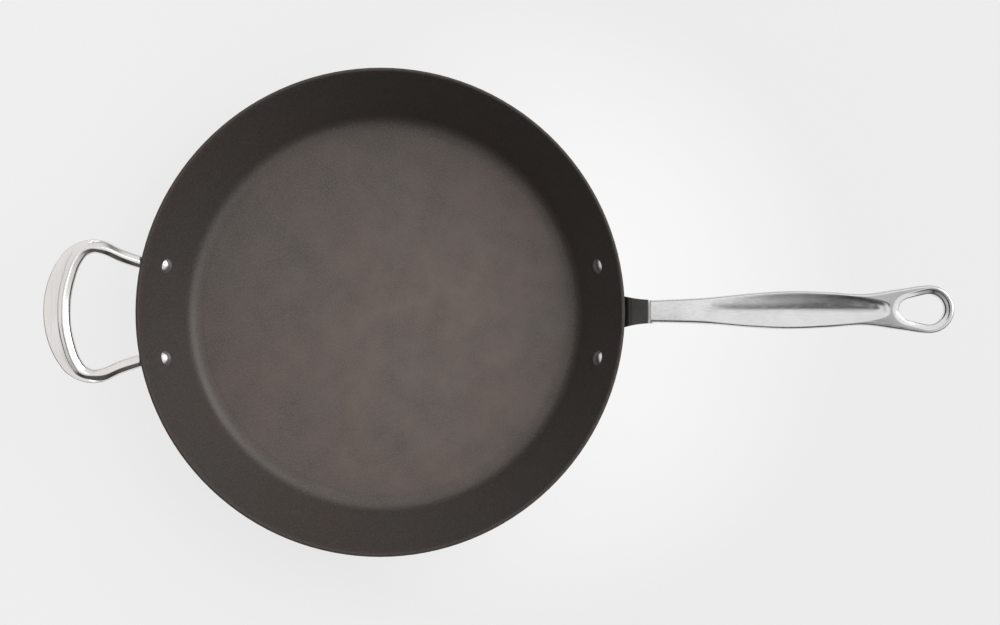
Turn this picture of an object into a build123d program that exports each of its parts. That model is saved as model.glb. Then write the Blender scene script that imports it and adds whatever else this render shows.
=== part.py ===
"""A riveted cast iron skillet, 32 cm over the rim, with a long hollow steel grip and a helper handle.

Millimetres. +Z is up and the origin is the centre of the pan's flat base. The long handle runs along +X
and the helper handle along -X. Each piece has its own function, and main() writes one STEP for each.
"""

import os
from math import asin, cos, radians, sin, sqrt, tan

from build123d import *

# ---- Pan: a flat floor, a rounded corner and a straight flared wall ----
RIM_R = 160.3  # outer radius at the rim's corner, 160 once the corner is rounded
PAN_H = 50.3  # height of the rim's corner above the base, 50 once the corner is rounded
WALL_T = 2.5  # thickness of the wall
FLOOR_T = 3.2  # thickness of the floor
WALL_ANGLE = radians(60)  # the wall's angle above the horizontal
CORNER_R = 11.5  # inside radius between the floor and the wall
RIM_ROUND_R = 0.9  # rounding of the rim's two edges

# ---- Rivets: two hold each handle to the wall ----
RIVET_ANGLE = 12.0  # degrees round the pan from a handle's centre line to its rivets
RIVET_Z = 29.5  # height at which a rivet's axis meets the inside of the wall
RIVET_R = 3.0  # the shank fills its hole
HEAD_R = 5.2  # domed head, inside the pan
HEAD_H = 2.3
TAIL_R = 4.5  # flattened tail, outside
TAIL_H = 1.7
TAIL_ROUND = 0.7
SEAT_DEPTH = 0.15  # a head starts this far inside the wall and is then trimmed to the wall's curve

# ---- Long handle's bracket: a saddle on the wall, a neck, and a tang inside the grip ----
SADDLE_T = 3.2
SADDLE_LOW_Z = 19.0
SADDLE_HIGH_Z = 41.0
SADDLE_MID_W = 34.0
LUG_R = 9.3  # the saddle's round ends, one about each rivet
NECK_W = 15.0
NECK_T = 12.2
NECK_FLARE_W = 42.0  # width of the neck where it meets the wall
NECK_CREST_X = 163.8  # the bend in the neck's top
NECK_VALLEY = (158.9, 36.0)  # X and Z of the low point between the neck and the rim
NECK_EDGE_R = 1.2
GROOVE_L = 1.8  # the groove between the neck and the grip
GROOVE_DEPTH = 1.2
TANG_W = 8.6
TANG_T = 5.6
TANG_L = 38.0

# ---- Grip: two shells along an arc that flattens towards the hanging loop ----
GRIP_START = (179.4, 43.0)  # X and Z where the arc leaves the neck
GRIP_END_X = 363.8
START_SLOPE = radians(23)
END_SLOPE = radians(7)
# X, half width of the grip seen from above
GRIP_WIDTHS = [(165.0, 7.5), (195.0, 7.9), (215.5, 8.9), (263.0, 12.2), (309.0, 10.05), (330.0, 12.9)]
# X, height of the top above the arc, depth of the underside below it
GRIP_DEPTHS = [
    (165.0, 6.2, 6.2),
    (215.0, 6.3, 7.2),
    (263.0, 5.7, 7.8),
    (309.0, 4.5, 5.6),
    (331.0, 3.5, 3.7),
    (375.0, 3.3, 3.5),
]
LOOP = (348.6, 15.2)  # X of the centre and radius of the loop's round end
EYE_WIDE = (348.3, 9.4)  # the same for the two ends of the egg-shaped eye
EYE_NARROW = (336.6, 6.7)
TOP_EDGE_R = 2.2
UNDER_EDGE_R = 3.2
EYE_EDGE_R = 2.2
SCOOP_X = (212.0, 322.0)  # the thumb scoop's two ends
SCOOP_DROP = 0.3  # how far the scoop's bottom lies below the line between its ends
SCOOP_R = 21.0
SHELL_T = 1.6
HOLLOW_X = (214.0, 316.0)
HOLLOW_TOP = 1.2  # the hollow's roof above the arc, clear of the scoop
TANG_SLOT_L = 6.0
TANG_ROOM_L = 41.0
TANG_ROOM_SIDE = 1.0  # space left on each side of the tang

# ---- Screw that holds the grip on the tang, put in from below ----
SCREW_ALONG = 22.0  # distance from the grip's start
SCREW_R = 2.0
SCREW_TOP = 1.2  # height of its end above the tang's centre line
SCREW_HEAD_R = 3.6
SCREW_HEAD_T = 1.5
SCREW_SEAT = 5.7  # depth of the head's seat below the tang's centre line
SOCKET_W = 2.5
BOSS_R = 4.7

# ---- Helper handle: a round bar bent into a loop, with a lip along the outside of its grip ----
HELPER_RISE = radians(17)
HELPER_AT_RIM_Z = 43.5  # height of the middle of its legs as they pass under the rim
HELPER_T = 7.6
HELPER_EDGE_R = 3.2
HELPER_REACH = 216.8  # from the pan's axis to the far side of the loop
# distance from the pan's axis, half width over the loop
HELPER_OUTER = [(205.5, 36.8), (189.0, 47.2), (168.8, 40.6), (150.0, 34.4)]
HELPER_INNER = [(196.4, 25.8), (187.0, 37.8), (171.7, 32.4), (150.0, 26.2)]
HELPER_INNER_REACH = 200.4
BAR_W = 8.4
LIP_UP = 1.5  # the lip's top and underside, measured from the middle of the bar
LIP_DOWN = 2.6
LIP_EDGE_R = 0.9
LIP_FROM = 184.0  # the lip runs round the loop beyond this distance from the pan's axis
FOOT_T = 3.0
FOOT_R = 8.6
FOOT_TOP_Z = 42.0

# ---- Worked out from the above ----
FLOOR_CORNER_R = RIM_R - WALL_T * sin(WALL_ANGLE) - (PAN_H - FLOOR_T) / tan(WALL_ANGLE)
ARC_R = (GRIP_END_X - GRIP_START[0]) / (sin(START_SLOPE) - sin(END_SLOPE))
FAR = 200.0  # longer than any piece, for the tools that cut or trim
HALF_SPAN = 50.0  # more than half the width of anything near the handle


def wall_r(z, depth):
    """Radius at height z of the cone that lies this depth outside the wall's inner face."""
    return FLOOR_CORNER_R + depth / sin(WALL_ANGLE) + (z - FLOOR_T) / tan(WALL_ANGLE)


def wall_layer(depth_in, depth_out, z_low, z_high):
    """A ring that follows the wall, between two depths outside its inner face."""
    outline = Polyline(
        (wall_r(z_low, depth_in), 0, z_low),
        (wall_r(z_low, depth_out), 0, z_low),
        (wall_r(z_high, depth_out), 0, z_high),
        (wall_r(z_high, depth_in), 0, z_high),
        close=True,
    )
    return revolve(make_face(outline), Axis.Z)


def inside_of_wall():
    """Everything within the wall's outer face, used to trim what is fixed against it."""
    outline = Polyline(
        (0, 0, -20),
        (wall_r(-20, WALL_T), 0, -20),
        (wall_r(PAN_H, WALL_T), 0, PAN_H),
        (0, 0, PAN_H),
        close=True,
    )
    return revolve(make_face(outline), Axis.Z)


def round_corner(face, point, radius):
    """Round the corner of a flat face nearest to a point."""
    corner = face.vertices().sort_by_distance(point)[0]
    return face.face().fillet_2d(radius, [corner])


def across(face):
    """A side profile carried right across, from one side of the handle to the other."""
    return extrude(Pos(0, -HALF_SPAN, 0) * face, 2 * HALF_SPAN, dir=(0, 1, 0))


def rivet_plane(angle):
    """The tangent plane of the wall's inner face at a rivet, with its normal pointing out of the pan."""
    a = radians(angle)
    r = wall_r(RIVET_Z, 0)
    normal = (sin(WALL_ANGLE) * cos(a), sin(WALL_ANGLE) * sin(a), -cos(WALL_ANGLE))
    return Plane(origin=(r * cos(a), r * sin(a), RIVET_Z), x_dir=(-sin(a), cos(a), 0), z_dir=normal)


def rivet_hole(angle):
    return rivet_plane(angle) * Cylinder(RIVET_R, 30)


def rivet_from_above():
    """Half distance between a handle's rivets, and the height at which they pass through the wall."""
    return wall_r(RIVET_Z, 0) * sin(radians(RIVET_ANGLE)), RIVET_Z - WALL_T * cos(WALL_ANGLE)


def pan_body():
    """The pan, with a hole through its wall for each rivet."""
    floor_corner = (FLOOR_CORNER_R, 0, FLOOR_T)
    base_corner = (wall_r(0, WALL_T), 0, 0)
    rim_inner = (wall_r(PAN_H, 0), 0, PAN_H)
    rim_outer = (RIM_R, 0, PAN_H - WALL_T * cos(WALL_ANGLE))
    outline = Polyline(
        (0, 0, 0), base_corner, rim_outer, rim_inner, floor_corner, (0, 0, FLOOR_T), close=True
    )
    face = make_face(outline)
    face = round_corner(face, floor_corner, CORNER_R)
    face = round_corner(face, base_corner, CORNER_R + WALL_T)
    face = round_corner(face, rim_inner, RIM_ROUND_R)
    face = round_corner(face, rim_outer, RIM_ROUND_R)
    body = revolve(face, Axis.Z)
    for angle in (RIVET_ANGLE, -RIVET_ANGLE, 180 - RIVET_ANGLE, 180 + RIVET_ANGLE):
        body -= rivet_hole(angle)
    return body


def rivet(angle, stack, pan, handle):
    """A rivet through the wall and a handle's foot, its head and tail trimmed to their curved seats."""
    dome_r = (HEAD_R**2 + HEAD_H**2) / (2 * HEAD_H)
    half_angle = asin(HEAD_R / dome_r) / 2
    dome = ThreePointArc(
        (0, 0, -HEAD_H),
        (dome_r * sin(half_angle), 0, dome_r * (1 - cos(half_angle)) - HEAD_H),
        (HEAD_R, 0, 0),
    )
    rest = Polyline(
        (HEAD_R, 0, 0),
        (HEAD_R, 0, SEAT_DEPTH),
        (RIVET_R, 0, SEAT_DEPTH),
        (RIVET_R, 0, stack - SEAT_DEPTH),
        (TAIL_R, 0, stack - SEAT_DEPTH),
        (TAIL_R, 0, stack + TAIL_H),
        (0, 0, stack + TAIL_H),
        (0, 0, -HEAD_H),
    )
    face = make_face([dome, rest])
    face = round_corner(face, (TAIL_R, 0, stack + TAIL_H), TAIL_ROUND)
    piece = rivet_plane(angle) * revolve(face, Axis.Z)
    return piece - pan - handle


def grip_point(x, lift=0.0):
    """X, Y and Z of a point above the grip's arc, measured square to it where it passes x."""
    slope = asin(sin(START_SLOPE) - (x - GRIP_START[0]) / ARC_R)
    z = GRIP_START[1] + ARC_R * (cos(slope) - cos(START_SLOPE))
    return (x - lift * sin(slope), 0, z + lift * cos(slope))


def start_plane():
    """The plane where the grip meets the bracket, with its normal pointing along the grip."""
    return Plane(
        origin=(GRIP_START[0], 0, GRIP_START[1]),
        x_dir=(0, 1, 0),
        z_dir=(cos(START_SLOPE), 0, sin(START_SLOPE)),
    )


def start_point(along, lift):
    """X, Y and Z of a point given along the grip's starting direction and square to it."""
    return (
        GRIP_START[0] + along * cos(START_SLOPE) - lift * sin(START_SLOPE),
        0,
        GRIP_START[1] + along * sin(START_SLOPE) + lift * cos(START_SLOPE),
    )


def screw_plane():
    """On the tang's centre line, with its normal pointing up along the screw."""
    return Plane(
        origin=start_point(SCREW_ALONG, 0),
        x_dir=(0, 1, 0),
        z_dir=(-sin(START_SLOPE), 0, cos(START_SLOPE)),
    )


def saddle():
    """A plate that follows the wall: a deep middle with a round lug about each rivet."""
    lug_y, lug_z = rivet_from_above()
    mid_z = (SADDLE_LOW_Z + SADDLE_HIGH_Z) / 2
    middle = Pos(0, mid_z) * RectangleRounded(SADDLE_MID_W, SADDLE_HIGH_Z - SADDLE_LOW_Z, 5)
    outline = middle + Pos(0, lug_z) * Rectangle(2 * lug_y, 1.7 * LUG_R)
    for side in (-1, 1):
        outline += Pos(side * lug_y, lug_z) * Circle(LUG_R)
    tool = extrude(Plane.YZ * outline, FAR, dir=(1, 0, 0))
    return wall_layer(0, WALL_T + SADDLE_T, 10, 46) & tool


def neck():
    """The neck's side profile, cut to a plan that flares out to meet the wall."""
    half = NECK_T / 2
    crest_back = (NECK_CREST_X - GRIP_START[0] + half * sin(START_SLOPE)) / cos(START_SLOPE)
    crest = start_point(crest_back, half)
    valley = (NECK_VALLEY[0], 0, NECK_VALLEY[1])
    side = make_face(
        Polyline(
            start_point(-GROOVE_L, half),
            crest,
            valley,
            (145, 0, NECK_VALLEY[1] + 2),
            (145, 0, SADDLE_LOW_Z + 3),
            (155, 0, SADDLE_LOW_Z + 5.5),
            start_point(-GROOVE_L, -half),
            close=True,
        )
    )
    side = round_corner(side, crest, 3.5)
    side = round_corner(side, valley, 2.0)
    side = round_corner(side, (155, 0, SADDLE_LOW_Z + 5.5), 8.0)
    edge = Spline(
        (145, NECK_FLARE_W / 2),
        (163, NECK_W / 2 + 2.0),
        (190, NECK_W / 2),
        tangents=[(1, -1.6), (1, 0)],
    )
    plan = make_face(
        [
            edge,
            mirror(edge, Plane.XZ),
            Line((145, NECK_FLARE_W / 2), (145, -NECK_FLARE_W / 2)),
            Line((190, NECK_W / 2), (190, -NECK_W / 2)),
        ]
    )
    return across(side) & extrude(plan, FAR)


def handle_bracket():
    """The saddle and neck, with a groove before the grip and the tang that runs on into it."""
    body = neck()
    end_face = body.faces().sort_by_distance(start_point(-GROOVE_L, 0))[0]
    body = fillet(end_face.edges(), NECK_EDGE_R)
    plane = start_plane()
    core_w = NECK_W - 2 * GROOVE_DEPTH
    core_t = NECK_T - 2 * GROOVE_DEPTH
    body += plane * Pos(0, 0, -GROOVE_L) * Box(core_w, core_t, 2 * GROOVE_L)
    body += plane * Pos(0, 0, TANG_L / 2) * Box(TANG_W, TANG_T, TANG_L)
    body += saddle()
    body -= inside_of_wall()
    body -= plane * Pos(0, 0, GROOVE_L / 2) * (Box(NECK_W, NECK_T, GROOVE_L) - Box(TANG_W, TANG_T, GROOVE_L))
    body -= screw_plane() * Pos(0, 0, SCREW_TOP - 10) * Cylinder(SCREW_R, 20)
    for angle in (RIVET_ANGLE, -RIVET_ANGLE):
        body -= rivet_hole(angle)
    return body


def grip_plan(inset):
    """The grip seen from above, drawn in by an inset all round."""
    points = [(x, half - inset) for x, half in GRIP_WIDTHS]
    loop_x, loop_r = LOOP
    side = Spline(points + [(loop_x, loop_r - inset)], tangents=[(1, 0), (1, 0)])
    end = ThreePointArc((loop_x, loop_r - inset), (loop_x + loop_r - inset, 0), (loop_x, inset - loop_r))
    start = Line(points[0], (points[0][0], -points[0][1]))
    return make_face([side, end, mirror(side, Plane.XZ), start])


def grip_side(top, under):
    """The grip seen from the side, between two curves given as heights from its arc."""
    upper = Spline([grip_point(x, lift) for x, lift in top])
    lower = Spline([grip_point(x, lift) for x, lift in under])
    return make_face([upper, lower, Line(upper @ 0, lower @ 0), Line(upper @ 1, lower @ 1)])


def grip_blank():
    """The whole grip before it is divided, with its eye and its thumb scoop."""
    top = [(x, up) for x, up, down in GRIP_DEPTHS]
    under = [(x, -down) for x, up, down in GRIP_DEPTHS]
    body = across(grip_side(top, under)) & extrude(grip_plan(0), FAR)
    plane = start_plane()
    body -= plane * Box(60, 60, 60, align=(Align.CENTER, Align.CENTER, Align.MAX))
    by_slope = body.faces().sort_by(lambda face: face.normal_at().Z)
    start_edges = body.faces().sort_by_distance(plane.origin)[0].edges()
    top_edges = [edge for edge in by_slope[-1].edges() if edge not in start_edges]
    under_edges = [edge for edge in by_slope[0].edges() if edge not in start_edges]
    body = fillet(top_edges, TOP_EDGE_R)
    body = fillet([nearest_edge(body, edge @ 0.5) for edge in under_edges], UNDER_EDGE_R)
    eye = make_hull(
        (Pos(EYE_WIDE[0], 0) * Circle(EYE_WIDE[1])).edges()
        + (Pos(EYE_NARROW[0], 0) * Circle(EYE_NARROW[1])).edges()
    )
    body -= extrude(eye, FAR)
    eye_rims = [wire.edges() for face in body.faces() for wire in face.inner_wires()]
    body = fillet(eye_rims[0] + eye_rims[1], EYE_EDGE_R)
    return body - thumb_scoop()


def nearest_edge(body, point):
    return body.edges().sort_by_distance(point)[0]


def thumb_scoop():
    """A round bar laid along the grip's top, which bites deepest where the top is highest."""
    near_x, near_z = grip_top(SCOOP_X[0])
    end_x, end_z = grip_top(SCOOP_X[1])
    rise = asin((end_z - near_z) / sqrt((end_x - near_x) ** 2 + (end_z - near_z) ** 2))
    middle = Plane(
        origin=((near_x + end_x) / 2, 0, (near_z + end_z) / 2),
        x_dir=(0, 1, 0),
        z_dir=(cos(rise), 0, sin(rise)),
    )
    return middle * Pos(0, SCOOP_R - SCOOP_DROP, 0) * Cylinder(SCOOP_R, 160)


def grip_top(x):
    """X and Z of the grip's top where the arc passes x."""
    for (x0, up0, _), (x1, up1, _) in zip(GRIP_DEPTHS, GRIP_DEPTHS[1:]):
        if x0 <= x <= x1:
            point = grip_point(x, up0 + (up1 - up0) * (x - x0) / (x1 - x0))
            return point[0], point[2]


def grip_shells():
    """The grip's upper and lower halves, which meet along its arc and are hollow between."""
    blank = grip_blank()
    plane = start_plane()
    hollow_top = [(x, HOLLOW_TOP) for x in (HOLLOW_X[0], 240, 265, 290, HOLLOW_X[1])]
    hollow_under = [(x, SHELL_T - down) for x, up, down in GRIP_DEPTHS]
    hollow = across(grip_side(hollow_top, hollow_under[1:4]))
    hollow &= extrude(grip_plan(SHELL_T), FAR)
    room_w = TANG_W + 2 * TANG_ROOM_SIDE
    room_t = TANG_T + 2 * TANG_ROOM_SIDE
    room_l = TANG_ROOM_L - TANG_SLOT_L
    room = plane * Pos(0, 0, TANG_SLOT_L + room_l / 2) * Box(room_w, room_t, room_l)
    boss = screw_plane() * Pos(0, 0, -TANG_T / 2) * Cylinder(
        BOSS_R, 12, align=(Align.CENTER, Align.CENTER, Align.MAX)
    )
    blank -= hollow
    blank -= room - boss
    blank -= plane * Pos(0, 0, TANG_L / 2) * Box(TANG_W, TANG_T, TANG_L)
    blank -= screw_plane() * Cylinder(SCREW_R, 12, align=(Align.CENTER, Align.CENTER, Align.MAX))
    blank -= screw_plane() * Pos(0, 0, -SCREW_SEAT) * Cylinder(
        SCREW_HEAD_R, 12, align=(Align.CENTER, Align.CENTER, Align.MAX)
    )
    arc = Spline([grip_point(x) for x in (160, 195, 230, 265, 300, 335, 375)])
    above = make_face([arc, Polyline(arc @ 1, (arc @ 1) + (0, 0, 60), (arc @ 0) + (0, 0, 60), arc @ 0)])
    upper_half = across(above)
    return blank & upper_half, blank - upper_half


def grip_screw():
    """A socket-headed screw from the lower shell up into the tang."""
    shank = Cylinder(SCREW_R, SCREW_SEAT + SCREW_TOP, align=(Align.CENTER, Align.CENTER, Align.MIN))
    head = Cylinder(SCREW_HEAD_R, SCREW_HEAD_T, align=(Align.CENTER, Align.CENTER, Align.MAX))
    head = fillet(head.faces().sort_by(Axis.Z)[0].edges(), 0.5)
    socket = extrude(RegularPolygon(SOCKET_W / 2, 6, major_radius=False), SCREW_HEAD_T * 0.7)
    screw = head + shank - Pos(0, 0, -SCREW_HEAD_T) * socket
    return screw_plane() * Pos(0, 0, -SCREW_SEAT) * screw


def helper_curve(points, reach):
    """One curve of the loop seen from above, symmetric about the X axis, opening towards the pan."""
    left = [(-x, y) for x, y in reversed(points)]
    right = [(-x, -y) for x, y in points]
    return Spline(left + [(-reach, 0)] + right)


def helper_plan(curve):
    """What a curve of the loop encloses."""
    return make_face([curve, Line(curve @ 0, curve @ 1)])


def moved_out(curve, distance, steps=24):
    """A curve that keeps this distance outside another one."""
    points = []
    for k in range(steps + 1):
        along = curve % (k / steps)
        points.append(curve @ (k / steps) + distance * Vector(along.Y, -along.X))
    return Spline(points)


def helper_layer(outline, low, high):
    """What lies over an outline between two heights from the middle of the loop's rising plane."""
    rising = Plane(
        origin=(-RIM_R, 0, HELPER_AT_RIM_Z),
        x_dir=(0, 1, 0),
        z_dir=(sin(HELPER_RISE), 0, cos(HELPER_RISE)),
    )
    slab = rising * Pos(0, 0, (low + high) / 2) * Box(FAR, FAR, high - low)
    return extrude(outline, FAR, dir=(0, 0, 1)) & slab


def round_long_edges(body, radius, sides):
    """Round the edges between a loop's flat faces and the given number of curved sides round it."""
    flats = body.faces().sort_by(lambda face: face.normal_at().Z)
    curved = body.faces().filter_by(GeomType.PLANE, reverse=True).sort_by(Axis.X)[:sides]
    edges = [edge for flat in (flats[0], flats[-1]) for edge in flat.edges()]
    return fillet([edge for edge in edges if any(edge in face.edges() for face in curved)], radius)


def helper_handle():
    """A bar bent into a loop with a lip outside its grip, and a foot on the wall at the end of each leg."""
    inner = helper_curve(HELPER_INNER, HELPER_INNER_REACH)
    whole = helper_plan(helper_curve(HELPER_OUTER, HELPER_REACH))
    bar_outside = helper_plan(moved_out(inner, BAR_W))
    bar = helper_layer((bar_outside & whole) - helper_plan(inner), -HELPER_T / 2, HELPER_T / 2)
    beyond = Pos(-LIP_FROM - FAR / 2, 0) * Rectangle(FAR, FAR)
    under_bar = helper_plan(moved_out(inner, BAR_W / 2))
    lip = helper_layer((whole - under_bar) & beyond, -LIP_DOWN, LIP_UP)
    body = round_long_edges(bar, HELPER_EDGE_R, 99) + round_long_edges(lip, LIP_EDGE_R, 1)
    lug_y, lug_z = rivet_from_above()
    feet = Sketch()
    for side in (-1, 1):
        feet += Pos(side * lug_y, lug_z) * Circle(FOOT_R)
        feet += Pos(side * lug_y, (lug_z + FOOT_TOP_Z) / 2) * Rectangle(2 * FOOT_R, FOOT_TOP_Z - lug_z)
    tool = extrude(Plane.YZ * feet, FAR, dir=(-1, 0, 0))
    body += wall_layer(0, WALL_T + FOOT_T, 10, 46) & tool
    body -= inside_of_wall()
    for angle in (180 - RIVET_ANGLE, 180 + RIVET_ANGLE):
        body -= rivet_hole(angle)
    return body


def main():
    os.makedirs("parts", exist_ok=True)
    pan = pan_body()
    bracket = handle_bracket()
    upper, lower = grip_shells()
    helper = helper_handle()
    pieces = {
        "pan_body": pan,
        "handle_bracket": bracket,
        "grip_upper_shell": upper,
        "grip_lower_shell": lower,
        "grip_screw": grip_screw(),
        "helper_handle": helper,
        "handle_rivet_left": rivet(RIVET_ANGLE, WALL_T + SADDLE_T, pan, bracket),
        "handle_rivet_right": rivet(-RIVET_ANGLE, WALL_T + SADDLE_T, pan, bracket),
        "helper_rivet_left": rivet(180 - RIVET_ANGLE, WALL_T + FOOT_T, pan, helper),
        "helper_rivet_right": rivet(180 + RIVET_ANGLE, WALL_T + FOOT_T, pan, helper),
    }
    for name, piece in pieces.items():
        export_step(piece, f"parts/{name}.step")


main()
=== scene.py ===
import math

import bmesh
import bpy
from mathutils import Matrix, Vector


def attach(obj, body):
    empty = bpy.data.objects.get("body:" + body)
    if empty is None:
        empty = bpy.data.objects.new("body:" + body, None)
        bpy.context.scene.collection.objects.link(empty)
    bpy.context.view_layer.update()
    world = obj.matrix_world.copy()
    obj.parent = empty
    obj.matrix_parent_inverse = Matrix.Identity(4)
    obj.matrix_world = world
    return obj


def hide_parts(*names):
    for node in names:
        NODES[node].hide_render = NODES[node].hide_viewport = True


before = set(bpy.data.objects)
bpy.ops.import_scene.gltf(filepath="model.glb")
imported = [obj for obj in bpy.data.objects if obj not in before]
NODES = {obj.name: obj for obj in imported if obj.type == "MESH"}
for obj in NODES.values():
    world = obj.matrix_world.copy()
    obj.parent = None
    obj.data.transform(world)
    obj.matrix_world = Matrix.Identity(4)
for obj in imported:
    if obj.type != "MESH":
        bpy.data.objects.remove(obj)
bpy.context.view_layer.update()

# Pieces are drawn in millimetres and scaled by MM as their vertices are made. Materials, the floor,
# the light and the camera are in metres.
MM = 0.001
QUARTER_TURN = math.pi / 2

scene = bpy.context.scene
scene.view_settings.view_transform = "Standard"
scene.view_settings.look = "None"

# ---------------------------------------------------------------- mesh helpers
WELD = 1e-7  # points closer than this, in metres, are one point


def add_mesh(name, verts, faces, sharp_degrees=35.0):
    """A smooth-shaded object whose edges stay crisp where the surface turns sharply."""
    bm = bmesh.new()
    made = [bm.verts.new(v) for v in verts]
    for face in faces:
        bm.faces.new([made[i] for i in face])
    bmesh.ops.remove_doubles(bm, verts=bm.verts, dist=WELD)
    bmesh.ops.recalc_face_normals(bm, faces=bm.faces)
    limit = math.radians(sharp_degrees)
    for face in bm.faces:
        face.smooth = True
    for edge in bm.edges:
        if len(edge.link_faces) == 2 and edge.calc_face_angle() > limit:
            edge.smooth = False
    mesh = bpy.data.meshes.new(name)
    bm.to_mesh(mesh)
    bm.free()
    obj = bpy.data.objects.new(name, mesh)
    scene.collection.objects.link(obj)
    return obj


def join(first, *others):
    """One object from several meshes."""
    bm = bmesh.new()
    for obj in (first, *others):
        bm.from_mesh(obj.data)
    bm.to_mesh(first.data)
    bm.free()
    for obj in others:
        bpy.data.objects.remove(obj)
    return first


# ---------------------------------------------------------------- curves
CURVE_STEPS = 24  # points in each stretch of a spline


def hermite(u):
    """A cubic piece's shares at u: of its start, its start slope, its end and its end slope."""
    return (
        2 * u**3 - 3 * u**2 + 1,
        u**3 - 2 * u**2 + u,
        3 * u**2 - 2 * u**3,
        u**3 - u**2,
    )


def slope_between(before, after, h0, h1):
    """Slope at the point between two stretches, from their own slopes and their lengths."""
    return (before * h1 + after * h0) / (h0 + h1)


def spline_curve(points, start_dir, end_dir):
    """A smooth curve through a few points: cubic pieces whose tangents come from the neighbours."""
    pts = [Vector(p) for p in points]
    knots = [0.0]
    for a, b in zip(pts, pts[1:]):
        knots.append(knots[-1] + (b - a).length)
    spans = [b - a for a, b in zip(knots, knots[1:])]
    chords = [(b - a) / h for a, b, h in zip(pts, pts[1:], spans)]
    tangents = [Vector(start_dir).normalized() if start_dir else (pts[1] - pts[0]).normalized()]
    for i in range(1, len(spans)):
        tangents.append(slope_between(chords[i - 1], chords[i], spans[i - 1], spans[i]))
    tangents.append(Vector(end_dir).normalized())
    dense = []
    for i, h in enumerate(spans):
        for k in range(CURVE_STEPS):
            start, leave, end, arrive = hermite(k / CURVE_STEPS)
            begun = pts[i] * start + tangents[i] * (leave * h)
            dense.append(begun + pts[i + 1] * end + tangents[i + 1] * (arrive * h))
    dense.append(pts[-1].copy())
    return dense


def resample(points, count):
    """The same polyline as count + 1 points evenly spaced along it."""
    lengths = [0.0]
    for a, b in zip(points, points[1:]):
        lengths.append(lengths[-1] + (b - a).length)
    out = []
    j = 0
    for k in range(count + 1):
        s = lengths[-1] * k / count
        while j < len(points) - 2 and lengths[j + 1] < s:
            j += 1
        span = lengths[j + 1] - lengths[j]
        out.append(points[j].lerp(points[j + 1], (s - lengths[j]) / span))
    return out


def smooth_step(start, end, x):
    """0 up to the start and 1 from the end on, with an even curve between."""
    t = min(1.0, max(0.0, (x - start) / (end - start)))
    return t * t * (3 - 2 * t)


def profile(points, x):
    """Value at x of a smooth curve through (x, value) points, level at and beyond its ends."""
    if x <= points[0][0]:
        return points[0][1]
    if x >= points[-1][0]:
        return points[-1][1]

    def slope(k):
        if k in (0, len(points) - 1):
            return 0.0
        (xa, ya), (xb, yb), (xc, yc) = points[k - 1 : k + 2]
        return slope_between((yb - ya) / (xb - xa), (yc - yb) / (xc - xb), xb - xa, xc - xb)

    i = next(k for k in range(len(points) - 1) if x <= points[k + 1][0])
    (x0, y0), (x1, y1) = points[i : i + 2]
    h = x1 - x0
    start, leave, end, arrive = hermite((x - x0) / h)
    return y0 * start + slope(i) * h * leave + y1 * end + slope(i + 1) * h * arrive


# ---------------------------------------------------------------- grip: sizes
GRIP_START = (179.4, 43.0)  # x and z where the arc leaves the neck
GRIP_END_X = 363.8
START_SLOPE = math.radians(23)
END_SLOPE = math.radians(7)
ARC_R = (GRIP_END_X - GRIP_START[0]) / (math.sin(START_SLOPE) - math.sin(END_SLOPE))
SQUARE_L = 24  # the sections turn from square to the arc to upright over this length

LOOP_X, LOOP_R = 348.6, 15.2  # centre and radius of the loop's round end
EYE_WIDE_X, EYE_WIDE_R = 348.3, 9.4  # the same for the two ends of the egg-shaped eye
EYE_NARROW_X, EYE_NARROW_R = 336.6, 6.7
EYE_TIP = EYE_NARROW_X - EYE_NARROW_R
EYE_LEAN = (EYE_WIDE_R - EYE_NARROW_R) / (EYE_WIDE_X - EYE_NARROW_X)  # sine of its sides' angle
# x, half width seen from above
OUTLINE = [
    (GRIP_START[0], 7.5), (195.0, 7.9), (215.5, 8.9), (239.0, 11.0), (263.0, 12.2),
    (286.0, 11.4), (309.0, 10.05), (330.0, 12.9), (LOOP_X, LOOP_R),
]
# x, height of the top above the arc or depth of the underside below it
TOP = [(165.0, 6.2), (215.0, 6.3), (263.0, 5.7), (309.0, 4.5), (331.0, 3.5), (375.0, 2.8)]
UNDER = [(165.0, 6.2), (215.0, 7.2), (263.0, 7.8), (309.0, 5.6), (331.0, 3.7), (375.0, 3.5)]
# x, how far the sides of the top and the underside lie nearer the arc than the middle
CROWN = [(179.0, 0.5), (205.0, 0.7), (230.0, 0.2), (300.0, 0.0), (322.0, 0.3), (335.0, 0.0)]
BELLY = 1.6
BELLY_STARTS = (200, 240)
BELLY_ENDS = (290, 330)
# x, rounding of the outer edges
TOP_EDGE_R = [(300.0, 2.0), (332.0, 1.7)]
UNDER_EDGE_R = [(300.0, 3.4), (332.0, 3.0)]
EYE_EDGE_R = 1.0

# The scoop along the top: x and half width, x and depth, x and the power that shapes its bowl
SCOOP_HALF = [
    (206.0, 5.6), (216.0, 7.4), (239.0, 9.6), (263.0, 10.8), (286.0, 10.0),
    (304.0, 8.2), (314.0, 6.2), (320.0, 4.6), (326.0, 2.8),
]
SCOOP_DEPTH = [
    (206.0, 0.0), (218.0, 0.7), (240.0, 1.9), (270.0, 2.5),
    (300.0, 2.45), (311.0, 2.3), (318.5, 1.9), (324.8, 0.0),
]
SCOOP_BOWL = [(290.0, 1.15), (316.0, 0.85)]

# The top slopes down into the eye, and more steeply round its far end
DISH_SLOPE = 0.46
DISH_REACH = 3.9
DISH_BLEND = 1.2
DISH_LEAST = 0.4  # share of the slope at the near end
DISH_GROWS = (330.0, 346.0)

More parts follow.
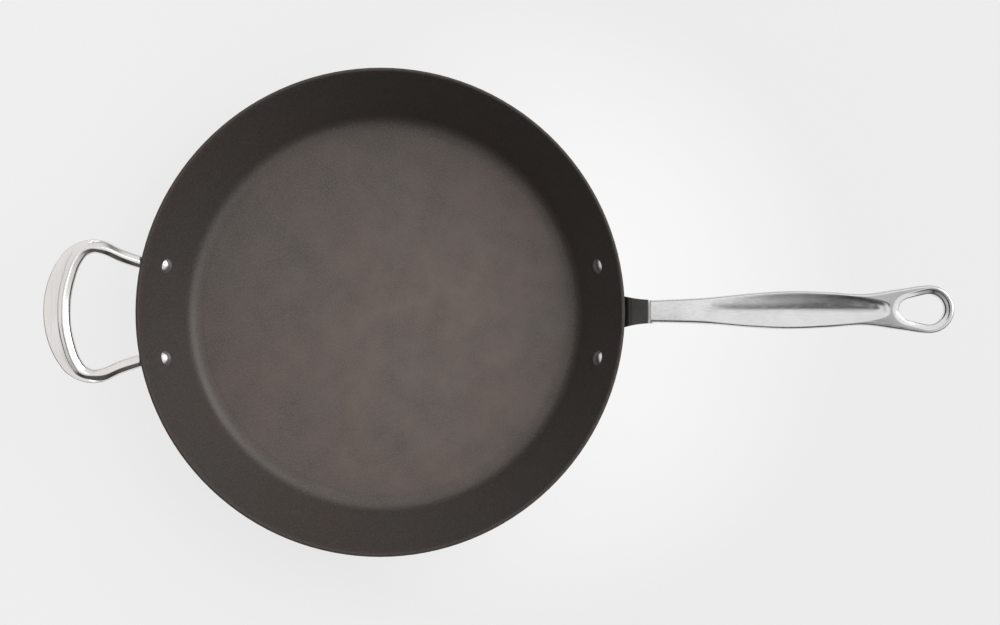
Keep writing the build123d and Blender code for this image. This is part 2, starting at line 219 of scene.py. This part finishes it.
# How finely the grip is drawn
SPLIT_X = 331.0  # the columns are spaced by one rule up to here and by another round the loop
STEM_STEPS = 150
LOOP_STEPS = 56
END_STEPS = 48
EYE_NARROW_STEPS = 40
EYE_WIDE_STEPS = 60
EYE_EDGE_STEPS = 5
OUTER_EDGE_STEPS = 7
MIDDLE_STEPS = 13
SEARCH = 14  # columns looked at on each side for the nearest part of the outline


# ---------------------------------------------------------------- grip: its plan
def eye_distance(x, y):
    """Distance outside the egg-shaped eye, seen from above."""
    between = EYE_WIDE_X - EYE_NARROW_X
    run = math.sqrt(1 - EYE_LEAN * EYE_LEAN)
    px, py = abs(y), EYE_WIDE_X - x
    along = -EYE_LEAN * px + run * py
    if along < 0:
        return math.hypot(px, py) - EYE_WIDE_R
    if along > run * between:
        return math.hypot(px, py - between) - EYE_NARROW_R
    return px * run + py * EYE_LEAN - EYE_WIDE_R


def eye_outline(count):
    """The eye's upper half from its narrow tip round to its wide tip."""
    lean = math.asin(EYE_LEAN)
    pts = []
    for k in range(EYE_NARROW_STEPS + 1):
        t = math.pi - (QUARTER_TURN - lean) * k / EYE_NARROW_STEPS
        pts.append(Vector((EYE_NARROW_X + EYE_NARROW_R * math.cos(t), EYE_NARROW_R * math.sin(t))))
    for k in range(EYE_WIDE_STEPS + 1):
        t = (QUARTER_TURN + lean) * (1 - k / EYE_WIDE_STEPS)
        pts.append(Vector((EYE_WIDE_X + EYE_WIDE_R * math.cos(t), EYE_WIDE_R * math.sin(t))))
    return resample(pts, count)


def round_end():
    """The loop's round end, from its side to its far tip."""
    turns = [QUARTER_TURN * k / END_STEPS for k in range(END_STEPS + 1)]
    return [Vector((LOOP_X + LOOP_R * math.sin(t), LOOP_R * math.cos(t))) for t in turns]


def outer_curve():
    """The outer edge of one half of the plan, from the neck to the loop's far tip."""
    side = spline_curve(OUTLINE, (1, 0.01), (1, 0))
    stem = resample([p for p in side if p.x <= SPLIT_X], STEM_STEPS)
    loop = [stem[-1]] + [p for p in side if p.x > SPLIT_X] + round_end()[1:]
    return stem + resample(loop, LOOP_STEPS)[1:]


def inner_curve():
    """Where each column of the plan starts: on the centre line, then round the eye."""
    length = EYE_TIP - GRIP_START[0]
    stem = [Vector((GRIP_START[0] + length * k / STEM_STEPS, 0.0)) for k in range(STEM_STEPS + 1)]
    return stem + eye_outline(LOOP_STEPS)[1:]


INNER = inner_curve()
OUTER = outer_curve()


def across(inner, outer, edge):
    """Points from the inner curve to the outer one, close together where the edges are rounded."""
    length = (outer - inner).length
    edge_r = profile(edge, outer.x)
    near_turns = [QUARTER_TURN * k / EYE_EDGE_STEPS for k in range(EYE_EDGE_STEPS + 1)]
    far_turns = [QUARTER_TURN * k / OUTER_EDGE_STEPS for k in range(OUTER_EDGE_STEPS + 1)]
    near = [EYE_EDGE_R * (1 - math.cos(t)) for t in near_turns]
    far = [length - edge_r * (1 - math.cos(t)) for t in far_turns]
    gap = far[-1] - near[-1]
    middle = [near[-1] + gap * k / MIDDLE_STEPS for k in range(1, MIDDLE_STEPS)]
    return [inner.lerp(outer, s / length) for s in near + middle + far[::-1]]


def outline_distance(p, i):
    """Distance to the outer outline, looked for near column i."""
    distances = []
    for j in range(max(0, i - SEARCH), min(len(OUTER) - 1, i + SEARCH)):
        a, b = OUTER[j], OUTER[j + 1]
        ab = b - a
        t = max(0.0, min(1.0, (p - a).dot(ab) / ab.length_squared))
        distances.append((p - (a + ab * t)).length)
    return min(distances)


# ---------------------------------------------------------------- grip: its surfaces
def arc(x):
    """Slope and height of the grip's arc at x."""
    s = math.sin(START_SLOPE) - (x - GRIP_START[0]) / ARC_R
    slope = math.asin(s)
    return slope, GRIP_START[1] + ARC_R * (math.cos(slope) - math.cos(START_SLOPE))


def grip_vertex(x, y, lift):
    """A point over the plan position (x, y), tilted square to the arc near the neck."""
    slope, z = arc(x)
    square = 1 - smooth_step(GRIP_START[0], GRIP_START[0] + SQUARE_L, x)
    c = math.cos(slope)
    over = x - square * lift * math.sin(slope)
    return Vector((over, y, z + lift / c - square * lift * (1 / c - c))) * MM


def rounding(distance, radius):
    """How far a surface has dropped at this distance inside an edge of this radius."""
    if distance >= radius:
        return 0.0
    d = max(0.0, distance)
    return radius - math.sqrt(max(0.0, radius**2 - (radius - d) ** 2))


def rounded_off(edge, edge_r, eye):
    """How far the outer edge and the eye's edge take a surface down, whichever is more."""
    return max(rounding(edge, edge_r), rounding(eye, EYE_EDGE_R))


def scoop(x, y):
    """Depth of the scoop along the grip's top."""
    q = abs(y) / profile(SCOOP_HALF, x)
    if q < 1 and SCOOP_HALF[0][0] < x < SCOOP_HALF[-1][0]:
        return profile(SCOOP_DEPTH, x) * (1 - q * q) ** profile(SCOOP_BOWL, x)
    return 0.0


def dish(x, eye):
    """How far the top has sloped down at this distance from the eye."""
    slope = DISH_SLOPE * (DISH_LEAST + (1 - DISH_LEAST) * smooth_step(*DISH_GROWS, x))
    inside = DISH_REACH - eye
    return slope * max(0.0, inside) * smooth_step(0.0, DISH_BLEND, inside)


def top_lift(x, y, edge, eye):
    """Height of the grip's top over the arc, given the distances to its outer edge and its eye."""
    lift = profile(TOP, x)
    lift -= profile(CROWN, x) * (abs(y) / profile(OUTLINE, x)) ** 2
    lift -= scoop(x, y)
    lift -= dish(x, eye)
    return lift - rounded_off(edge, profile(TOP_EDGE_R, x), eye)


def under_lift(x, y, edge, eye):
    """The same for the underside, which lies below the arc."""
    belly = BELLY * smooth_step(*BELLY_STARTS, x) * (1 - smooth_step(*BELLY_ENDS, x))
    lift = profile(UNDER, x) - belly * (abs(y) / profile(OUTLINE, x)) ** 2
    return -(lift - rounded_off(edge, profile(UNDER_EDGE_R, x), eye))


def grip_shell(name, lift_of, edge_r):
    """Half of the grip: its outer surface, and the flat that meets the other half along the arc."""
    verts, faces = [], []
    for i, (inner, outer) in enumerate(zip(INNER, OUTER)):
        row = across(inner, outer, edge_r)
        for p in row:
            lift = lift_of(p.x, p.y, outline_distance(p, i), eye_distance(p.x, p.y))
            for sign in (1, -1):
                verts.append(grip_vertex(p.x, sign * p.y, lift))
                verts.append(grip_vertex(p.x, sign * p.y, 0.0))
    last = len(row) - 1

    def index(i, j, side, flat):
        return ((i * (last + 1) + j) * 2 + side) * 2 + flat

    def patch(i, j, side, flat):
        """Four corners of the outer surface, or of the flat."""
        corners = ((i, j), (i + 1, j), (i + 1, j + 1), (i, j + 1))
        return [index(*corner, side, flat) for corner in corners]

    def rim(start, end, side):
        """Four corners of the strip that joins the outer surface to the flat."""
        corners = ((*start, side, 0), (*end, side, 0), (*end, side, 1), (*start, side, 1))
        return [index(*corner) for corner in corners]

    for side in (0, 1):
        for i in range(len(INNER) - 1):
            for j in range(last):
                faces.append(patch(i, j, side, 0))
                faces.append(patch(i, j, side, 1))
            faces.append(rim((i, last), (i + 1, last), side))
            if i >= STEM_STEPS:
                faces.append(rim((i, 0), (i + 1, 0), side))
        for j in range(last):
            faces.append(rim((0, j), (0, j + 1), side))
    return add_mesh(name, verts, faces)


# ---------------------------------------------------------------- what follows the pan's wall
RIM_R = 160.3  # outer radius and height of the rim's corner, before it is rounded
PAN_H = 50.3
WALL_ANGLE = math.radians(60)
WALL_T = 2.5
FLOOR_T = 3.2
FLOOR_CORNER_R = RIM_R - WALL_T * math.sin(WALL_ANGLE) - (PAN_H - FLOOR_T) / math.tan(WALL_ANGLE)
RIVET_ANGLE = 12.0  # degrees from the centre line
RIVET_Z = 29.5


def rivet_angle(side):
    """Direction from the pan's axis to one of the helper handle's rivets."""
    return math.radians(180 - side * RIVET_ANGLE)


def wall_point(angle, z, depth):
    """A point this deep outside the wall's inner face, out along its normal from height z."""
    r = FLOOR_CORNER_R + (z - FLOOR_T) / math.tan(WALL_ANGLE) + depth * math.sin(WALL_ANGLE)
    return Vector((r * math.cos(angle), r * math.sin(angle), z - depth * math.cos(WALL_ANGLE))) * MM


def wall_normal(angle):
    """Direction straight out of the wall."""
    c, s = math.cos(WALL_ANGLE), math.sin(WALL_ANGLE)
    return Vector((s * math.cos(angle), s * math.sin(angle), -c))


# ---------------------------------------------------------------- helper handle's loop
HELPER_RISE = math.radians(17)
HELPER_AT_RIM_Z = 43.5  # height of the middle of its legs as they pass under the rim
# x and y of the loop's two edges, from one leg's end to the middle of the loop
HELPER_INNER = [
    (-147.0, 25.4), (-160.5, 28.8), (-171.7, 32.6), (-180.6, 36.8), (-186.0, 37.9),
    (-190.6, 36.1), (-194.3, 30.8), (-197.9, 20.1), (-200.0, 9.0), (-200.4, 0.0),
]
HELPER_OUTER = [
    (-145.0, 33.0), (-158.6, 37.0), (-168.8, 40.7), (-182.5, 46.8), (-190.4, 47.1),
    (-198.0, 44.3), (-208.2, 32.8), (-214.2, 18.8), (-216.7, 0.0),
]

# The bar's section: a bead with a rounded crest, straight slopes and round edges
BEAD_W = 8.4
BEAD_H = 3.8
BEVEL = 0.52  # steepness of the slopes
CREST = 0.3  # shares of the half width where the slope starts and where it ends
BEVEL_END = 0.78

# The lip outside the bead, where the loop is wider than the bead
LIP_START = (174.0, 194.0)  # distances from the pan's axis between which the lip grows
LIP_SPARE = 0.4  # width beyond the bead's that doesn't count as lip
LIP_FULL = 3.6  # lip width from which its share is whole
LIP_LEAST = 0.02  # its least share, so that no points fall together
LIP_TOP = 2.2
LIP_UNDER = 2.6
LIP_EDGE_R = 0.8
LIP_FALL = 1.8  # power of the curve from the bead down to the lip
BEAD_HIDDEN = 0.28  # share of the bead's half turn that the lip covers
UNDER_POWER = 3.2  # how flat the underside is

# How finely the loop is drawn
HELPER_STEPS = 110
BEAD_STEPS = 28
LIP_STEPS = 9
LIP_EDGE_STEPS = 5
UNDER_STEPS = 30
HELPER_SHARP = 50.0

TRIM_DEPTH = WALL_T + 0.4  # the legs end just outside the wall, inside the feet
TRIM_SIDE = 0.005  # metres from the centre line beyond which a vertex belongs to a leg


def helper_vertex(x, y, lift):
    """A point over the plan position, at a height above the loop's rising plane."""
    rise = (-RIM_R - x) * math.tan(HELPER_RISE)
    return Vector((x, y, HELPER_AT_RIM_Z + rise + lift / math.cos(HELPER_RISE))) * MM


def bead_height(u, half):
    """Height of the bead over its middle plane at a share u of its half width."""
    drop = BEVEL * half * (u * u / (2 * CREST) if u < CREST else u - CREST / 2)
    v = max(0.0, (u - BEVEL_END) / (1 - BEVEL_END))
    return (BEAD_H - drop) * math.sqrt(max(0.0, 1 - v * v))


def helper_section(width, x):
    """Distance from the loop's inner edge and height, once round: the bead, the lip, the underside."""
    lip = max(0.0, width - BEAD_W - LIP_SPARE)
    share = max(LIP_LEAST, smooth_step(0.0, LIP_FULL, lip) * smooth_step(*LIP_START, -x))
    half = (width + (BEAD_W - width) * share) / 2
    section = []
    for k in range(BEAD_STEPS + 1):
        u = math.cos(math.pi * (1 - k / BEAD_STEPS * (1 - BEAD_HIDDEN * share)))
        section.append((half + half * u, bead_height(abs(u), half)))
    s0, h0 = section[-1]
    lip_points = []
    for k in range(1, LIP_STEPS + 1):
        q = k / LIP_STEPS
        s = s0 + (width - LIP_EDGE_R - s0) * q
        lip_points.append((s, h0 + (LIP_TOP - h0) * (1 - (1 - q) ** LIP_FALL)))
    for k in range(1, LIP_EDGE_STEPS + 1):
        a = QUARTER_TURN * k / LIP_EDGE_STEPS
        s = width - LIP_EDGE_R + LIP_EDGE_R * math.sin(a)
        lip_points.append((s, LIP_TOP - LIP_EDGE_R + LIP_EDGE_R * math.cos(a)))
    section += [(s0 + (s - s0) * share, h0 + (h - h0) * share) for s, h in lip_points]
    deep = LIP_UNDER + (BEAD_H - LIP_UNDER) * (1 - share)
    for k in range(1, UNDER_STEPS):
        q = k / UNDER_STEPS
        section.append((width * (1 - q), -deep * (1 - abs(2 * q - 1) ** UNDER_POWER) ** 0.5))
    return section


def helper_edge(points):
    """One edge of the loop in plan, from one leg's end round to the other's."""
    half = resample(spline_curve(points, None, (0, -1)), HELPER_STEPS)
    return half + [Vector((p.x, -p.y)) for p in reversed(half[:-1])]


def trim_at_wall(obj):
    """Cuts each leg where it meets the wall and closes the cut."""
    bm = bmesh.new()
    bm.from_mesh(obj.data)
    for side in (1, -1):
        near = {v for v in bm.verts if v.co.y * side > TRIM_SIDE}
        geom = list(near)
        geom += [e for e in bm.edges if all(v in near for v in e.verts)]
        geom += [f for f in bm.faces if all(v in near for v in f.verts)]
        bmesh.ops.bisect_plane(
            bm,
            geom=geom,
            dist=WELD,
            plane_co=wall_point(rivet_angle(side), RIVET_Z, TRIM_DEPTH),
            plane_no=wall_normal(rivet_angle(side)),
            clear_inner=True,
        )
        cut = [e for e in bm.edges if len(e.link_faces) == 1 and e.verts[0].co.y * side > TRIM_SIDE]
        made = bmesh.ops.contextual_create(bm, geom=cut)
        for face in made["faces"]:
            for edge in face.edges:
                edge.smooth = False
    bmesh.ops.recalc_face_normals(bm, faces=bm.faces)
    bm.to_mesh(obj.data)
    bm.free()


def helper_loop(name):
    """The bent bar: a section at each step round the loop, joined to the next one."""
    rings = []
    for a, b in zip(helper_edge(HELPER_INNER), helper_edge(HELPER_OUTER)):
        width = (b - a).length
        ring = []
        for s, h in helper_section(width, (a.x + b.x) / 2):
            p = a.lerp(b, s / width)
            ring.append(helper_vertex(p.x, p.y, h))
        rings.append(ring)
    verts = [v for ring in rings for v in ring]
    count = len(rings[0])
    faces = []
    for start in range(0, len(verts) - count, count):
        for j in range(count):
            k = (j + 1) % count
            faces.append((start + j, start + count + j, start + count + k, start + k))
    faces.append(range(count))
    faces.append(range(len(verts) - count, len(verts)))
    obj = add_mesh(name, verts, faces, HELPER_SHARP)
    trim_at_wall(obj)
    return obj


# ---------------------------------------------------------------- helper handle's feet
FOOT_R = 8.6
FOOT_T = 3.0
FOOT_TOP_Z = 42.0
FOOT_EDGE_R = 1.2
FOOT_WALL_R = FLOOR_CORNER_R + 18  # radius of the bend across a foot
FOOT_OVER = 2  # the foot reaches this far up past FOOT_TOP_Z, measured on the wall
FOOT_TAPER = 0.75  # power that shapes its upper end
FOOT_AROUND = 56
FOOT_EDGE_STEPS = 6
FOOT_RINGS = (0.6, 0.3)  # rings on its face, as shares of its outline
FOOT_SHARP = 60.0


def foot_outline(k):
    """Across and up from the rivet at one of the points round a foot: a half circle below, a taper above."""
    t = 2 * math.pi * k / FOOT_AROUND
    c, s = math.cos(t), math.sin(t)
    tall = (FOOT_TOP_Z - RIVET_Z) / math.sin(WALL_ANGLE) + FOOT_OVER
    return FOOT_R * c, FOOT_R * s if s < 0 else tall * abs(s) ** FOOT_TAPER


def foot_layers():
    """Share of the outline and depth outside the wall's inner face, from the wall to the foot's face."""
    face = WALL_T + FOOT_T
    layers = [(1.0, WALL_T)]
    for k in range(FOOT_EDGE_STEPS + 1):
        a = QUARTER_TURN * k / FOOT_EDGE_STEPS
        inset = FOOT_EDGE_R / FOOT_R * (1 - math.cos(a))
        layers.append((1 - inset, face - FOOT_EDGE_R * (1 - math.sin(a))))
    return layers + [(share, face) for share in FOOT_RINGS]


def helper_foot(name, side):
    """One foot: an upright oval plate on the wall with a rounded edge."""

    def place(u, v, depth):
        angle = rivet_angle(side) - u / FOOT_WALL_R
        return wall_point(angle, RIVET_Z + v * math.sin(WALL_ANGLE), depth)

    layers = foot_layers()
    verts, faces = [], []
    for share, depth in layers:
        for k in range(FOOT_AROUND):
            u, v = foot_outline(k)
            verts.append(place(u * share, v * share, depth))
    face_middle, back_middle = len(verts), len(verts) + 1
    verts += [place(0, 0, WALL_T + FOOT_T), place(0, 0, WALL_T)]
    inmost = (len(layers) - 1) * FOOT_AROUND
    for start in range(0, inmost, FOOT_AROUND):
        for k in range(FOOT_AROUND):
            n = (k + 1) % FOOT_AROUND
            faces.append((start + k, start + n, start + FOOT_AROUND + n, start + FOOT_AROUND + k))
    for k in range(FOOT_AROUND):
        n = (k + 1) % FOOT_AROUND
        faces.append((inmost + k, inmost + n, face_middle))
        faces.append((n, k, back_middle))
    return add_mesh(name, verts, faces, FOOT_SHARP)


# ---------------------------------------------------------------- materials
def feed(tree, socket, value):
    """Links a node's output to a socket, or sets the socket to a value or a colour."""
    if isinstance(value, bpy.types.NodeSocket):
        tree.links.new(value, socket)
    elif socket.type == "RGBA":
        socket.default_value = (*value, 1)
    else:
        socket.default_value = value


class Shader:
    """A principled material and the few node patterns this object needs, in metres of the row frame."""

    def __init__(self, name, color, metallic, rough):
        self.mat = bpy.data.materials.new(name)
        self.mat.use_nodes = True
        self.tree = self.mat.node_tree
        self.tree.nodes.clear()
        out = self.tree.nodes.new("ShaderNodeOutputMaterial")
        self.bsdf = self.tree.nodes.new("ShaderNodeBsdfPrincipled")
        self.tree.links.new(self.bsdf.outputs[0], out.inputs[0])
        self.drive("Base Color", color)
        self.drive("Metallic", metallic)
        self.drive("Roughness", rough)
        self.where = self.tree.nodes.new("ShaderNodeTexCoord").outputs["Object"]

    def drive(self, name, value):
        feed(self.tree, self.bsdf.inputs[name], value)

    def node(self, kind, **sockets):
        n = self.tree.nodes.new(kind)
        for name, value in sockets.items():
            feed(self.tree, n.inputs[name], value)
        return n

    def numbered(self, kind, *values):
        """A node whose first sockets take these values in turn."""
        n = self.tree.nodes.new(kind)
        for socket, value in zip(n.inputs, values):
            feed(self.tree, socket, value)
        return n

    def noise(self, scale, detail=3.0, rough=0.5, stretch=(1, 1, 1), distortion=0.0):
        place = self.node("ShaderNodeMapping", Vector=self.where, Scale=stretch)
        n = self.node(
            "ShaderNodeTexNoise",
            Vector=place.outputs[0], Scale=scale, Detail=detail, Roughness=rough, Distortion=distortion,
        )
        return n.outputs["Fac"]

    def axis(self, i):
        """The place's x, y or z, for i of 0, 1 or 2."""
        return self.node("ShaderNodeSeparateXYZ", Vector=self.where).outputs[i]

    def remap(self, value, low, high, to_low, to_high):
        return self.numbered("ShaderNodeMapRange", value, low, high, to_low, to_high).outputs[0]

    def math(self, kind, *values):
        n = self.numbered("ShaderNodeMath", *values)
        n.operation = kind
        return n.outputs[0]

    def distance_from(self, point):
        n = self.numbered("ShaderNodeVectorMath", self.where, point)
        n.operation = "DISTANCE"
        return n.outputs["Value"]

    def mix(self, factor, a, b):
        n = self.tree.nodes.new("ShaderNodeMix")
        n.data_type = "RGBA"
        colors = [socket for socket in n.inputs if socket.type == "RGBA"]
        for socket, value in zip((n.inputs[0], *colors), (factor, a, b)):
            feed(self.tree, socket, value)
        return next(socket for socket in n.outputs if socket.type == "RGBA")

    def bump(self, height, distance, strength, under=None):
        n = self.node("ShaderNodeBump", Strength=strength, Distance=distance, Height=height)
        if under is not None:
            feed(self.tree, n.inputs["Normal"], under)
        return n.outputs[0]


FLAT_EDGE = (0.121, 0.134)  # radii between which the worn floor gives way to the wall
RIM_EDGE = (0.1560, 0.1575)  # radii between which the rim's rougher surface starts
WEAR_AND_LIGHT_AT = (0.045, -0.020, 0.0)  # where the floor is most worn and its painted light is brightest
# distances over which the wear and the painted light fade from whole to half
WEAR_AND_LIGHT_REACH = (0.03, 0.16)


def seasoned_iron():
    """Seasoned iron: a dark wall, a browner worn floor that is lightest round one spot, partly wear and
    partly painted light, a fine grain and a rougher rim.
    """
    s = Shader("seasoned_iron", (0.045, 0.037, 0.034), 0.0, 0.5)
    cloud = s.remap(s.noise(14, 4, 0.6, distortion=0.4), 0.3, 0.7, 0, 1)
    patch = s.remap(s.noise(42, 4, 0.65), 0.35, 0.7, 0, 1)
    grain = s.noise(900, 2, 0.6)
    wall = s.mix(cloud, (0.052, 0.040, 0.037), (0.046, 0.041, 0.038))
    flat = s.mix(cloud, (0.170, 0.126, 0.111), (0.138, 0.115, 0.104))
    x_squared, y_squared = (s.math("MULTIPLY", s.axis(i), s.axis(i)) for i in (0, 1))
    radius = s.math("SQRT", s.math("ADD", x_squared, y_squared))
    inside = s.remap(radius, *FLAT_EDGE, 1.0, 0.0)
    # partly wear, partly painted light: the floor is lightest round one spot and fades to half away from it
    wear_and_painted_light = s.math("MULTIPLY", inside, s.remap(s.distance_from(WEAR_AND_LIGHT_AT), *WEAR_AND_LIGHT_REACH, 1.0, 0.50))
    body = s.mix(wear_and_painted_light, wall, flat)
    mottled = s.mix(s.math("MULTIPLY", patch, 0.5), body, (0.050, 0.046, 0.038))
    specks = s.remap(grain, 0.42, 0.62, 0.0, 1.0)
    speck = s.math("MULTIPLY", specks, s.remap(wear_and_painted_light, 0.0, 1.0, 0.22, 0.62))
    s.drive("Base Color", s.mix(speck, mottled, (0.150, 0.122, 0.110)))
    rough = s.math("ADD", s.remap(cloud, 0, 1, 0.40, 0.47), s.remap(grain, 0.3, 0.7, -0.05, 0.05))
    s.drive("Roughness", s.math("ADD", rough, s.remap(radius, *RIM_EDGE, 0.0, 0.3)))
    fine = s.bump(grain, 0.00025, 0.55)
    s.drive("Normal", s.bump(s.noise(160, 3, 0.5), 0.0003, 0.25, fine))
    return s.mat


# painted highlights: light lines where the neck's crest and its end bevel catch the light
CREST_HIGHLIGHT = (0.1632, 0.0010)  # x and half width of the bracket's painted highlight lines
END_HIGHLIGHT = (0.1763, 0.0011)


def bracket_iron():
    """Dark cast iron, with painted highlights along the crest of the neck and where it meets the grip."""
    s = Shader("bracket_iron", (0.035, 0.034, 0.033), 0.0, 0.45)
    cast = s.noise(520, 4, 0.6)
    wear = s.remap(s.noise(70, 4, 0.6), 0.4, 0.7, 0, 1)
    body = s.mix(wear, (0.038, 0.036, 0.034), (0.058, 0.054, 0.050))

    def line(x, half):
        far = s.math("ABSOLUTE", s.math("SUBTRACT", s.axis(0), x))
        return s.remap(far, half * 0.4, half, 1.0, 0.0)

    # painted highlights: a grey line on the neck's crest and a near-white line at its end by the grip
    crest_highlighted = s.mix(s.math("MULTIPLY", line(*CREST_HIGHLIGHT), 0.4), body, (0.30, 0.29, 0.28))
    s.drive("Base Color", s.mix(line(*END_HIGHLIGHT), crest_highlighted, (0.80, 0.79, 0.78)))
    s.drive("Roughness", s.remap(cast, 0.3, 0.7, 0.36, 0.52))
    s.drive("Normal", s.bump(cast, 0.0003, 0.4))
    return s.mat


def polished_steel(name, color, rough, along=(1, 1, 1)):
    """Polished steel with hair-fine scratches; along is the stretch that draws them out one way."""
    s = Shader(name, color, 1.0, rough)
    hair = s.noise(900, 2, 0.5, along)
    smear = s.noise(38, 3, 0.55)
    tint = s.mix(s.remap(smear, 0.35, 0.65, 0, 1), color, tuple(c * 0.93 for c in color))
    scratched = tuple(c * 0.8 for c in color)
    s.drive("Base Color", s.mix(s.remap(hair, 0.45, 0.75, 0, 0.25), tint, scratched))
    wide = s.remap(smear, 0.3, 0.7, rough - 0.03, rough + 0.05)
    s.drive("Roughness", s.math("ADD", wide, s.remap(hair, 0.3, 0.7, -0.03, 0.05)))
    s.drive("Normal", s.bump(hair, 0.00004, 0.35))
    return s.mat


def studio_floor():
    """A pale floor that glows, with a painted pool of light brightest by the pan's grip side and painted
    light lifting the other side.
    """
    s = Shader("studio_floor", (0.10, 0.10, 0.10), 0.0, 0.9)
    # painted pool of light: the floor glows most by the pan's grip side
    painted_light_pool = s.remap(s.distance_from((0.105, 0.003, 0.0)), 0.0, 0.215, 0.915, 0.735)
    # painted light: a little more glow towards the helper handle's side
    s.drive("Emission Strength", s.math("ADD", painted_light_pool, s.remap(s.axis(0), -0.22, 0.16, 0.03, 0.0)))
    s.drive("Emission Color", (1, 1, 1))
    return s.mat


# ---------------------------------------------------------------- pieces
GRIP_STEEL = polished_steel("grip_steel", (0.785, 0.79, 0.80), 0.17, (0.04, 1, 1))
HELPER_STEEL = polished_steel("helper_steel", (0.80, 0.785, 0.77), 0.13, (1, 0.06, 1))
RIVET_STEEL = polished_steel("rivet_steel", (0.70, 0.69, 0.68), 0.27)
NODE_MATERIALS = {
    "pan_body": seasoned_iron(),
    "handle_bracket": bracket_iron(),
    "grip_screw": polished_steel("screw_steel", (0.70, 0.69, 0.68), 0.25),
}

for name, node in NODES.items():
    node.data.materials.clear()
    node.data.materials.append(NODE_MATERIALS.get(name, RIVET_STEEL if "rivet" in name else GRIP_STEEL))


def piece(obj, mat, slot, *nodes):
    """Gives a drawn piece its material and lets it stand for these nodes of the frame."""
    obj.data.materials.append(mat)
    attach(obj, "root")
    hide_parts(*nodes)


piece(grip_shell("grip_upper", top_lift, TOP_EDGE_R), GRIP_STEEL, "grip_steel", "grip_upper_shell")
piece(grip_shell("grip_lower", under_lift, UNDER_EDGE_R), GRIP_STEEL, "grip_steel", "grip_lower_shell")
helper = join(helper_loop("helper_loop"), helper_foot("foot_left", 1), helper_foot("foot_right", -1))
piece(helper, HELPER_STEEL, "helper_steel", "helper_handle")

# ---------------------------------------------------------------- stage
FLOOR_HALF = 30
FLOOR_Z = -0.0003  # just under the pan, so that the two surfaces don't fight

corners = [(-1, -1), (1, -1), (1, 1), (-1, 1)]
floor = add_mesh("floor", [(x * FLOOR_HALF, y * FLOOR_HALF, FLOOR_Z) for x, y in corners], [(0, 1, 2, 3)])
floor.data.materials.append(studio_floor())


def aimed(name, data, place, target):
    """A light or camera that stands at one place and points at another."""
    obj = bpy.data.objects.new(name, data)
    obj.location = place
    obj.rotation_euler = (Vector(target) - obj.location).to_track_quat("-Z", "Y").to_euler()
    scene.collection.objects.link(obj)
    return obj


key_data = bpy.data.lights.new("key", "AREA")
key_data.shape = "RECTANGLE"
key_data.size = 2.0
key_data.size_y = 2.0
key_data.energy = 27
aimed("key", key_data, (1.9, 0.85, 1.55), (0.1, 0, 0))

# ---------------------------------------------------------------- world
# What the polished steel reflects. Each share is the ceiling's brightness left over in that part of
# the sky, and each pair is the range of a direction's component over which the part comes in.
WORLD_LOW, WORLD_HIGH = 0.10, 0.95
CEILING_WAY = (0.22, 0.45, 1.0)
CEILING_RANGE = (0.2, 0.62)
GAP_SHARE = 0.12
GAP_NEAR_WAY = (2.9, 1, 0)
GAP_NEAR_RANGE = (-1.44, -1.26)
GAP_FAR_RANGE = (-0.07, 0.01)
GAP_RIGHT_RANGE = (-0.16, 0.02)
ZENITH_SHARE = 0.58
ZENITH_RANGE = (0.94, 0.985)
ZENITH_RIGHT_RANGE = (0.0, 0.14)
AWAY_SHARE = 0.15
AWAY_RANGE = (-0.76, -0.68)
SKIRTING_SHARE = 0.1
SKIRTING_RANGE = (0.12, 0.34)


def studio_world():
    """A bright ceiling that reaches lower on the key light's side, with a dark gap across it."""
    world = bpy.data.worlds.new("studio")
    scene.world = world
    world.use_nodes = True
    tree = world.node_tree
    background = tree.nodes["Background"]
    way = tree.nodes.new("ShaderNodeTexCoord").outputs["Generated"]

    def dot(vector):
        n = tree.nodes.new("ShaderNodeVectorMath")
        n.operation = "DOT_PRODUCT"
        feed(tree, n.inputs[0], way)
        feed(tree, n.inputs[1], vector)
        return n.outputs["Value"]

    def step(value, span, to_low, to_high):
        n = tree.nodes.new("ShaderNodeMapRange")
        n.interpolation_type = "SMOOTHSTEP"
        for socket, setting in zip(n.inputs, (value, *span, to_low, to_high)):
            feed(tree, socket, setting)
        return n.outputs[0]

    def times(a, b):
        n = tree.nodes.new("ShaderNodeMath")
        n.operation = "MULTIPLY"
        feed(tree, n.inputs[0], a)
        feed(tree, n.inputs[1], b)
        return n.outputs[0]

    def darkened(where, share):
        """1 where there is nothing, down to this share where there is."""
        return step(where, (0.0, 1.0), 1.0, share)

    x, y, z = dot((1, 0, 0)), dot((0, 1, 0)), dot((0, 0, 1))
    ceiling = step(dot(CEILING_WAY), CEILING_RANGE, WORLD_LOW, WORLD_HIGH)
    near_side = step(dot(GAP_NEAR_WAY), GAP_NEAR_RANGE, 0.0, 1.0)
    far_side = step(y, GAP_FAR_RANGE, 1.0, 0.0)
    gap = times(times(near_side, far_side), step(x, GAP_RIGHT_RANGE, 1.0, 0.0))
    zenith = times(step(z, ZENITH_RANGE, 0.0, 1.0), step(x, ZENITH_RIGHT_RANGE, 1.0, 0.0))
    away = step(x, AWAY_RANGE, AWAY_SHARE, 1.0)
    skirting = step(z, SKIRTING_RANGE, SKIRTING_SHARE, 1.0)
    overhead = times(ceiling, darkened(zenith, ZENITH_SHARE))
    around = times(times(darkened(gap, GAP_SHARE), away), skirting)
    feed(tree, background.inputs["Strength"], times(overhead, around))
    feed(tree, background.inputs["Color"], (1.0, 0.99, 0.98))


studio_world()

# ---------------------------------------------------------------- camera
camera_data = bpy.data.cameras.new("camera")
camera_data.sensor_width = 36.0
camera_data.lens = 64.0
scene.camera = aimed("camera", camera_data, (0.0783, -0.0345, 1.210), (0.0783, -0.0008, 0.050))
